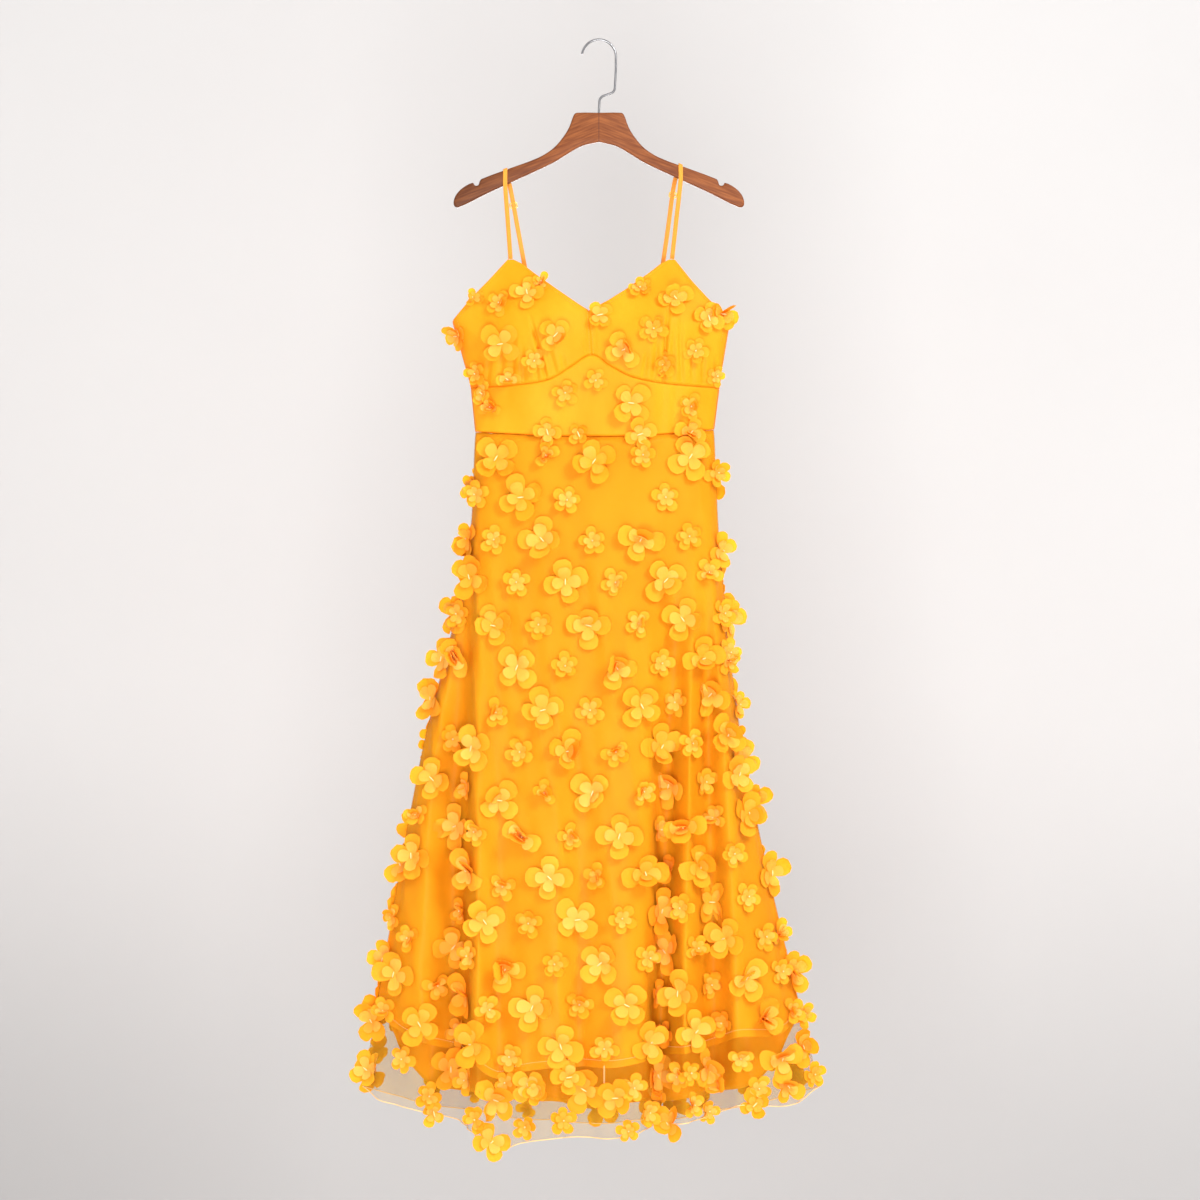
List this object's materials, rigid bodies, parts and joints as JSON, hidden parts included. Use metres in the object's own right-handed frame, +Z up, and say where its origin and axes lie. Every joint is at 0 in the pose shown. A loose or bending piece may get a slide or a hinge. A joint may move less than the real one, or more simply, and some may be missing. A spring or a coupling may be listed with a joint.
{
  "type": "sundress on a hanger",
  "caption": "Long strappy sundress with a sweetheart neckline and a mesh overlay of raised fabric flowers over a satin lining, hung on a wooden hanger with a wire hook.",
  "frame": {"origin": "inside top of the hanger's hook, where a rail carries it", "axes": "+Z up, -Y towards the front of the dress, +X to the right as seen from the front"},
  "size_m": [0.621, 0.1932, 1.5016],
  "materials": {
    "flowered_mesh": "sheer mesh with satin and organza flowers",
    "satin_lining": "satin",
    "strap_satin": "satin",
    "stained_wood": "semi-gloss stain",
    "steel_wire": "satin"
  },
  "bodies": {
    "root": {"cup_left": "flowered_mesh", "cup_right": "flowered_mesh", "midriff_front": "flowered_mesh", "bodice_back": "flowered_mesh", "skirt_front": "flowered_mesh", "skirt_back": "flowered_mesh", "lining_front": "satin_lining", "lining_back": "satin_lining", "strap_left": "strap_satin", "strap_right": "strap_satin", "slider_left": "steel_wire", "slider_right": "steel_wire", "ring_left": "steel_wire", "ring_right": "steel_wire", "hanger_wood": "stained_wood", "hanger_hook": "steel_wire"}
  },
  "joints": []
}
